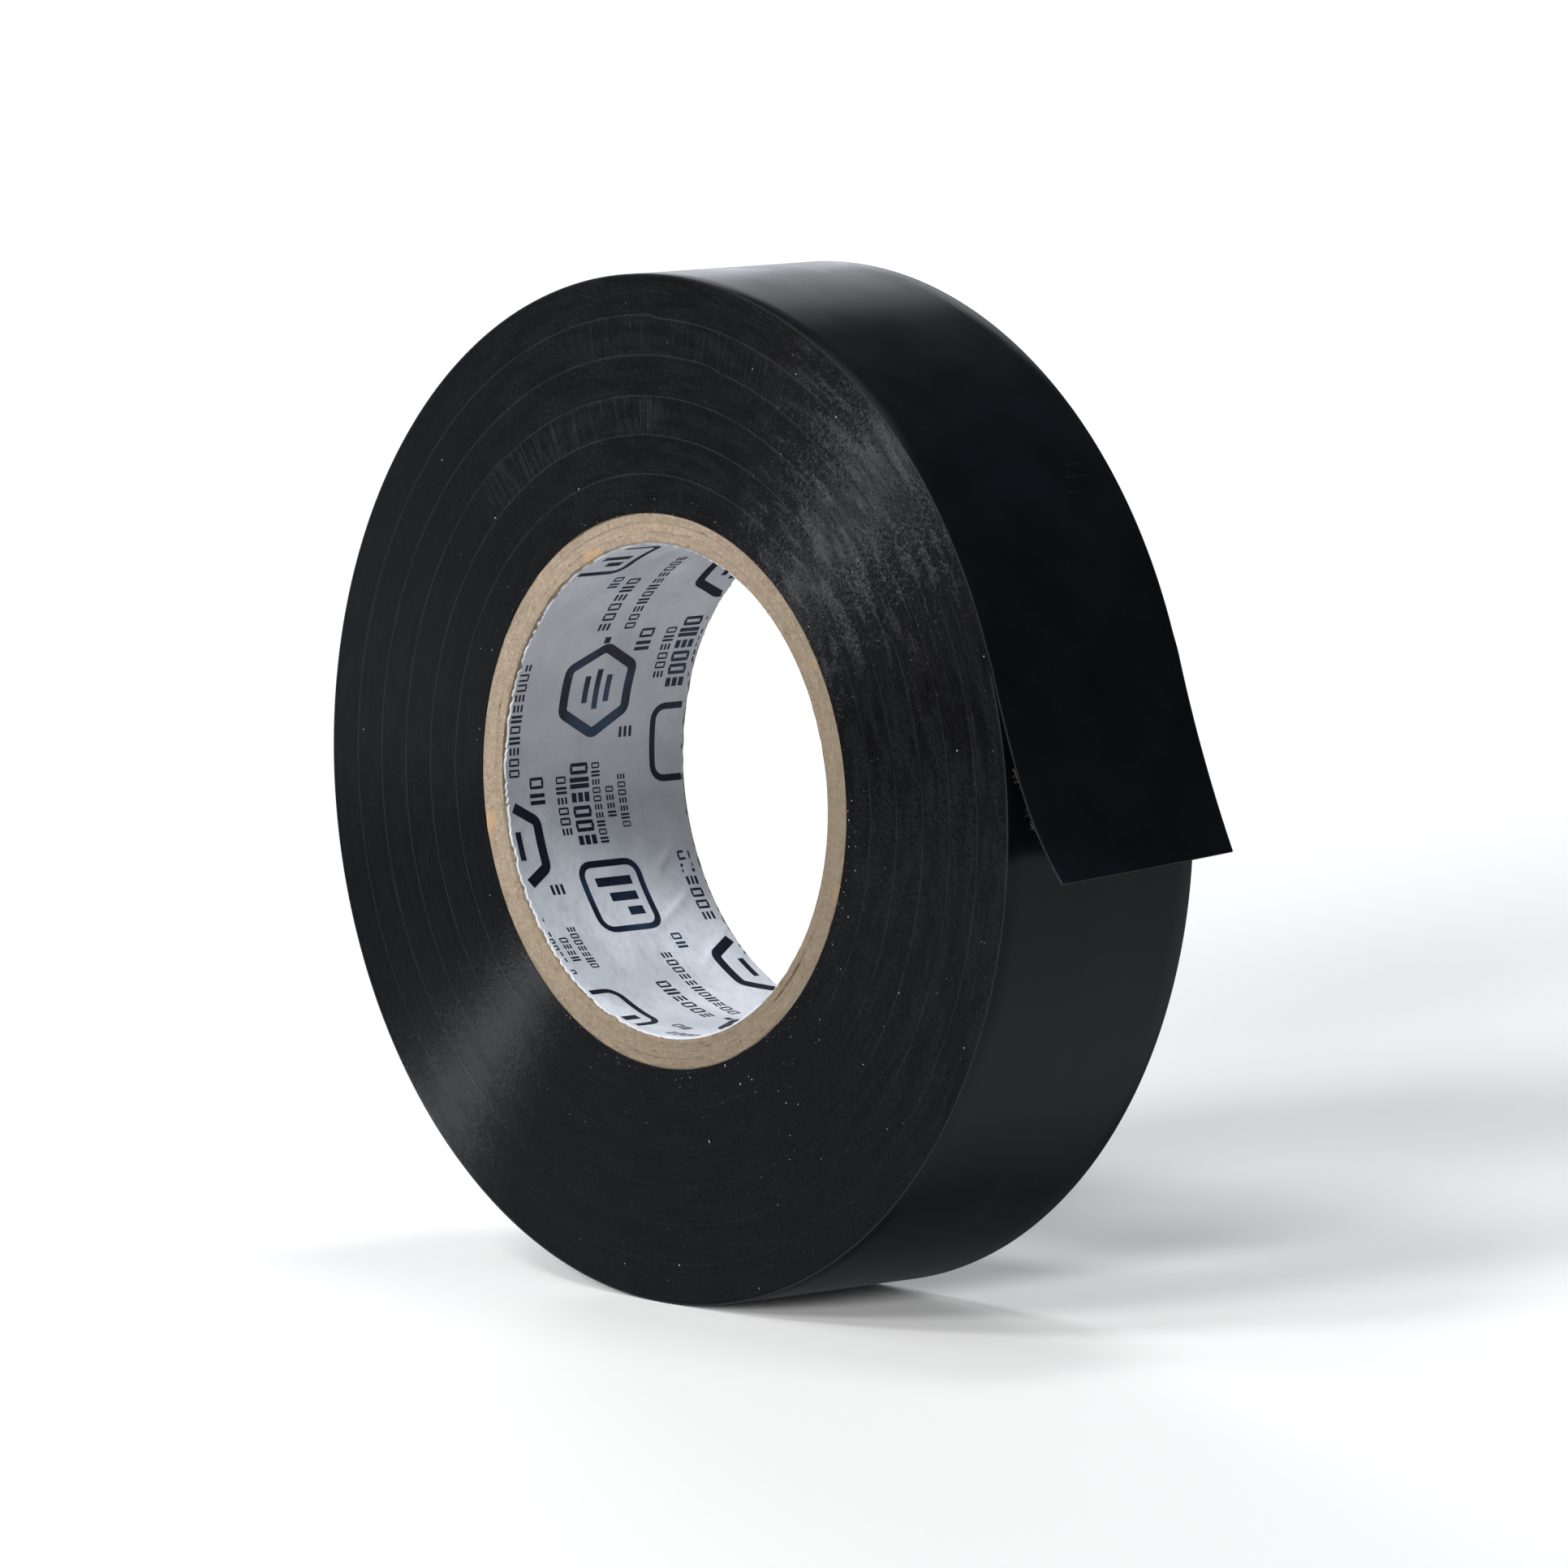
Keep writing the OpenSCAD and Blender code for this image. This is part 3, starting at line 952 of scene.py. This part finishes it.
side_material = wound_tape_material()
for band_number in range(1, BANDS + 1):
    wound_band(band_number, side_material)
board_tints = (
    ((0.285, 0.225, 0.160, 1), (0.185, 0.137, 0.090, 1)),
    ((0.300, 0.237, 0.170, 1), (0.197, 0.150, 0.102, 1)),
    ((0.290, 0.228, 0.165, 1), (0.180, 0.133, 0.090, 1)),
)
for ply_number, tints in enumerate(board_tints, 1):
    core_board(ply_number, board_material(f"kraft_board_{ply_number}", *tints))
printed_liner(liner_material())
liner_print(ink_material())
tape_layer("film", film_material())
tape_layer("adhesive", adhesive_material())
edge_fibres(lint_material("fibres", (0.20, 0.20, 0.19, 1), (0.42, 0.42, 0.40, 1)))
side_dust(lint_material("dust", (0.05, 0.05, 0.048, 1), (0.34, 0.335, 0.32, 1)))
free_end_fuzz(lint_material("fuzz", (0.035, 0.035, 0.037, 1), (0.11, 0.11, 0.115, 1)))


# ---------------------------------------------------------------- stage, camera and light

def add_floor():
    """A wide disc, level with the bottom of the roll."""
    shape = bmesh.new()
    bmesh.ops.create_circle(shape, cap_ends=True, segments=128, radius=12.0)
    mesh = bpy.data.meshes.new("floor")
    shape.to_mesh(mesh)
    shape.free()
    mesh.materials.append(floor_material())
    floor = bpy.data.objects.new("floor", mesh)
    floor.location.z = cad_box[0][2]
    bpy.context.scene.collection.objects.link(floor)
    floor.visible_glossy = False      # the world below the horizon is what the roll mirrors
    return floor


def add_camera():
    """A long lens to the right of the front face and a little above it."""
    turn, climb = math.radians(48.774), math.radians(6.724)
    distance, aside, below = 0.9906, 0.002346, 0.000155
    back = Vector((math.sin(turn) * math.cos(climb), -math.cos(turn) * math.cos(climb), math.sin(climb)))
    right = Vector((math.cos(turn), math.sin(turn), 0))
    up = back.cross(right)
    spot = back * distance + right * aside - up * below
    camera = bpy.data.objects.new("camera", bpy.data.cameras.new("camera"))
    camera.data.lens = 293.0
    camera.data.sensor_width = 36.0
    camera.data.clip_end = 40.0
    camera.matrix_world = Matrix.Translation(spot) @ Matrix((right, up, back)).transposed().to_4x4()
    bpy.context.scene.collection.objects.link(camera)
    bpy.context.scene.camera = camera


FLOOR_LIGHT = math.pi / 0.81  # the light that turns the pale floor fully white


def towards(turn, climb):
    """The direction that far round from +X and up from the floor, in degrees."""
    turn, climb = math.radians(turn), math.radians(climb)
    return Vector((math.cos(turn) * math.cos(climb), math.sin(turn) * math.cos(climb), math.sin(climb)))


def add_sun(name, turn, climb, share, width):
    """A distant soft light in a direction. share is its part of the floor's light, and width how wide
    it looks in degrees."""
    light = bpy.data.lights.new(name, "SUN")
    light.energy = share * FLOOR_LIGHT / math.sin(math.radians(climb))
    light.angle = math.radians(width)
    sun = bpy.data.objects.new(name, light)
    sun.rotation_euler = towards(turn, climb).to_track_quat("Z", "Y").to_euler()
    bpy.context.scene.collection.objects.link(sun)
    return sun


def add_lights(floor):
    """Soft lights, most of them round the front of the roll. Six only light the floor, for its shadows.
    Four only light the roll, and the last of these is a glint that shows only in gloss."""
    floor_only = bpy.data.collections.new("lit_floor")
    floor_only.objects.link(floor)
    roll_only = bpy.data.collections.new("lit_roll")
    for thing in bpy.context.scene.objects:
        if thing.type == "MESH" and thing != floor:
            roll_only.objects.link(thing)
    mirrored = ("glint", "overhead", "left_high")
    lights = (                # name, direction, share, width, what it lights
        ("front_low", -67, 10, 0.15, 12, floor_only),
        ("front_right", -57, 16, 0.125, 12, floor_only),
        ("front", -79, 29, 0.19, 14, floor_only),
        ("front_high_floor", -90, 52, 0.20, 14, floor_only),
        ("behind_high", 100, 80, 0.14, 14, floor_only),
        ("left", 152, 13, 0.08, 14, floor_only),
        ("roll_front", -98, 36, 0.44, 24, roll_only),
        ("front_high", -86, 54, 0.50, 14, roll_only),
        ("overhead", 100, 78, 0.12, 40, roll_only),
        ("left_high", -152, 60, 0.05, 30, None),
        ("glint", -86, 46, 0.60, 14, roll_only),
    )
    for name, turn, climb, share, width, lit in lights:
        sun = add_sun(name, turn, climb, share, width)
        sun.light_linking.receiver_collection = lit
        sun.visible_glossy = name in mirrored
        sun.visible_diffuse = name != "glint"
        if lit == roll_only:
            sun.data.color = (0.93, 0.95, 1.0)


def add_world():
    """A dim studio: a big soft light in front and above, a pale wall low down at the back left, and
    below the horizon the lit ground that the roll mirrors, brighter to the right and in front."""
    world = bpy.data.worlds.new("studio")
    bpy.context.scene.world = world
    world.use_nodes = True
    nodes = Nodes(world.node_tree)
    way = nodes.add("ShaderNodeTexCoord").outputs["Generated"]
    x, y, z = nodes.apart(way)
    front = nodes.span(nodes.vector("DOT_PRODUCT", way, towards(-110, 50)), 0.25, 0.95, 0.06, 0.20)
    wall = nodes.math("MULTIPLY", nodes.span(z, 0.50, 0.54, 1.0, 0.0), nodes.span(x, -0.30, -0.42))
    wall = nodes.math("MULTIPLY", wall, nodes.span(y, 0.2, 0.4))
    wall = nodes.math("MULTIPLY", wall, nodes.span(z, -0.02, 0.02))
    wall = nodes.math("MULTIPLY", wall, nodes.span(z, 0.10, 0.28, 1.55, 0.90))
    ground = nodes.span(x, -0.20, 0.45, 0.03, 1.0)
    ground = nodes.math("MAXIMUM", ground, nodes.span(y, 0.30, -0.10, 0.0, 0.55))
    ground = nodes.math("MULTIPLY", ground, nodes.span(z, 0.0, -0.06))
    glow = nodes.math("ADD", nodes.math("ADD", front, wall), ground)
    background = world.node_tree.nodes["Background"]
    nodes.plug(glow, background.inputs["Strength"])
    background.inputs["Color"].default_value = (0.91, 0.945, 1.0, 1)


add_camera()
add_lights(add_floor())
add_world()
bpy.context.scene.view_settings.view_transform = "Standard"
